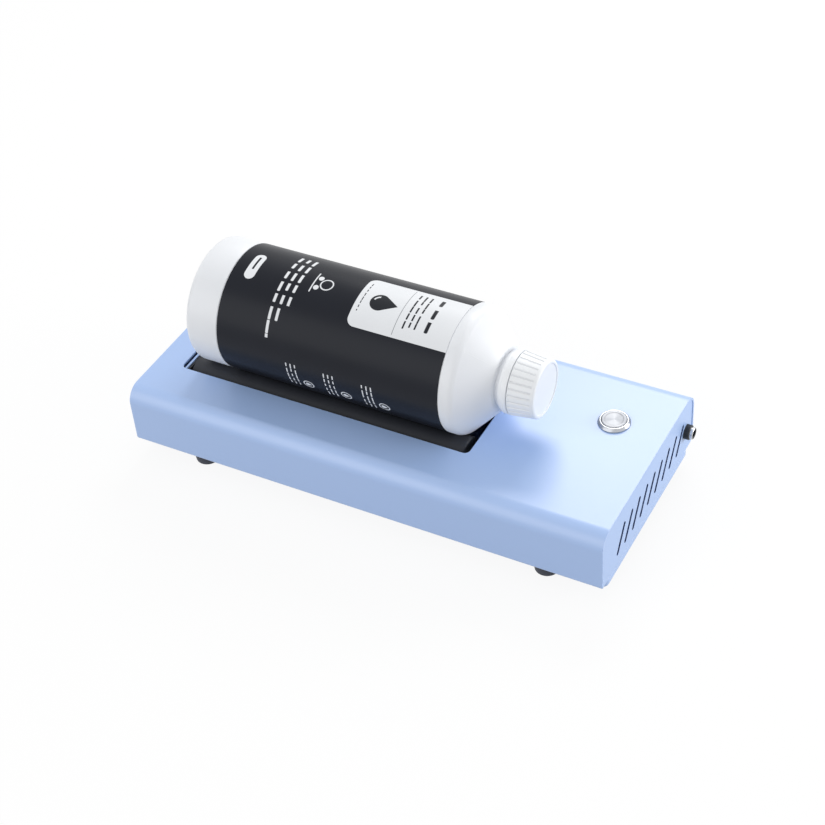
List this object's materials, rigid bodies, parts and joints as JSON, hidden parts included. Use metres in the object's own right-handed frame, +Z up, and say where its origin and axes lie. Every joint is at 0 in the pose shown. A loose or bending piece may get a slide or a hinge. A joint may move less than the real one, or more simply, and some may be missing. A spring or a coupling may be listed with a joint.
{
  "type": "bottle roller shaker",
  "caption": "Low folded-sheet casing whose rubber rollers turn a lying bottle to keep its ink mixed, with a push-button on top and a power jack and slanted vents in one end.",
  "frame": {"origin": "centre of the bounding box, on the surface that the feet stand on", "axes": "+X along the casing to the end with the vents and the jack, +Y to the back, +Z up; the bottle's cap points to +X"},
  "size_m": [0.3556, 0.152, 0.1384],
  "materials": {
    "powder_coat": "pale periwinkle powder coat, satin",
    "plated_steel": "zinc plated, dull",
    "stainless": "turned and lightly polished",
    "button_face": "spun, fine rings and radial sheen",
    "shaft_steel": "ground",
    "bearing_steel": "polished",
    "roller_rubber": "ground black rubber, matt",
    "pad_rubber": "moulded black rubber, matt",
    "foot_rubber": "moulded black rubber, matt",
    "gear_plastic": "natural acetal",
    "motor_steel": "nickel plated can",
    "black_plastic": "fine moulded grain",
    "gasket_rubber": "smooth",
    "brass": "tinned brass blades",
    "jack_metal": "nickel plated",
    "spring_steel": "drawn wire",
    "bottle_plastic": "blown polyethylene, soft gloss",
    "cap_plastic": "moulded polypropylene, satin",
    "liner_foam": "closed-cell foam",
    "label_film": "matt black film",
    "ink": "opaque white liquid",
    "lead_black": "smooth insulation",
    "lead_red": "smooth insulation"
  },
  "bodies": {
    "base": {"top_cover": "powder_coat", "left_end_panel": "powder_coat", "right_end_panel": "powder_coat", "base_tray": "powder_coat", "foot_screws": "plated_steel", "cover_standoffs": "plated_steel", "floor_screws": "plated_steel", "left_bracket": "powder_coat", "right_bracket": "powder_coat", "left_end_pad": "pad_rubber", "right_end_pad": "pad_rubber", "motor_gearbox": "motor_steel", "motor_can": "motor_steel", "motor_end_cap": "black_plastic", "motor_terminals": "brass", "motor_bracket": "plated_steel", "motor_screws": "plated_steel", "switch_bezel": "stainless", "switch_gasket": "gasket_rubber", "switch_spring": "spring_steel", "switch_nut": "stainless", "switch_body": "black_plastic", "switch_terminals": "brass", "jack_body": "jack_metal", "jack_nut": "black_plastic", "jack_sleeve": "black_plastic", "jack_pin": "jack_metal", "jack_terminals": "brass", "foot_back_left": "foot_rubber", "foot_front_left": "foot_rubber", "foot_back_right": "foot_rubber", "foot_front_right": "foot_rubber", "front_left_bearing": "bearing_steel", "front_right_bearing": "bearing_steel", "rear_left_bearing": "bearing_steel", "rear_right_bearing": "bearing_steel", "lead_jack_to_switch": "lead_red", "lead_switch_to_motor": "lead_red", "lead_motor_to_jack": "lead_black"},
    "front_roller": {"front_roller_sleeve": "roller_rubber", "front_roller_shaft": "shaft_steel", "front_roller_clips": "spring_steel", "roller_gear": "gear_plastic"},
    "rear_roller": {"rear_roller_sleeve": "roller_rubber", "rear_roller_shaft": "shaft_steel", "rear_roller_clips": "spring_steel"},
    "motor_rotor": {"motor_shaft": "shaft_steel", "motor_pinion": "gear_plastic"},
    "button": {"switch_button": "button_face"},
    "ink": {"ink_fill": "ink"},
    "bottle": {"bottle_shell": "bottle_plastic", "bottle_label": "label_film", "tamper_band": "cap_plastic"},
    "liner": {"cap_liner": "liner_foam"},
    "cap": {"bottle_cap": "cap_plastic"}
  },
  "joints": [
    {"name": "front_roller_spin", "type": "hinge", "parent": "base", "child": "front_roller", "pos_m": [0, -0.0275, 0.0456], "axis": [1, 0, 0], "continuous": true},
    {"name": "rear_roller_spin", "type": "hinge", "parent": "base", "child": "rear_roller", "pos_m": [0, 0.0275, 0.0456], "axis": [1, 0, 0], "continuous": true},
    {"name": "motor_spin", "type": "hinge", "parent": "base", "child": "motor_rotor", "pos_m": [0, -0.0275, 0.0286], "axis": [1, 0, 0], "continuous": true},
    {"name": "button_press", "type": "slide", "parent": "base", "child": "button", "axis": [0, 0, -1], "range_m": [0, 0.0018], "stiffness_N_per_m": 700, "springref_m": -0.002, "deforming": ["switch_spring"]},
    {"name": "bottle_lift", "type": "slide", "parent": "base", "child": "ink", "axis": [0, 0, 1], "range_m": [0, 0.12]},
    {"name": "bottle_spin", "type": "hinge", "parent": "ink", "child": "bottle", "pos_m": [0, 0, 0.09484], "axis": [1, 0, 0], "continuous": true},
    {"name": "cap_slide", "type": "slide", "parent": "bottle", "child": "liner", "axis": [1, 0, 0], "range_m": [0, 0.00801]},
    {"name": "cap_turn", "type": "hinge", "parent": "liner", "child": "cap", "pos_m": [0, 0, 0.09484], "axis": [1, 0, 0], "range_deg": [0, 720]}
  ],
  "couplings": [
    {"joint": "front_roller_spin", "follows": "bottle_spin", "ratio": -3.488},
    {"joint": "rear_roller_spin", "follows": "bottle_spin", "ratio": -3.488},
    {"joint": "motor_spin", "follows": "bottle_spin", "ratio": 3.924},
    {"joint": "cap_slide", "follows": "cap_turn", "m_per_rad": 0.00063662}
  ]
}
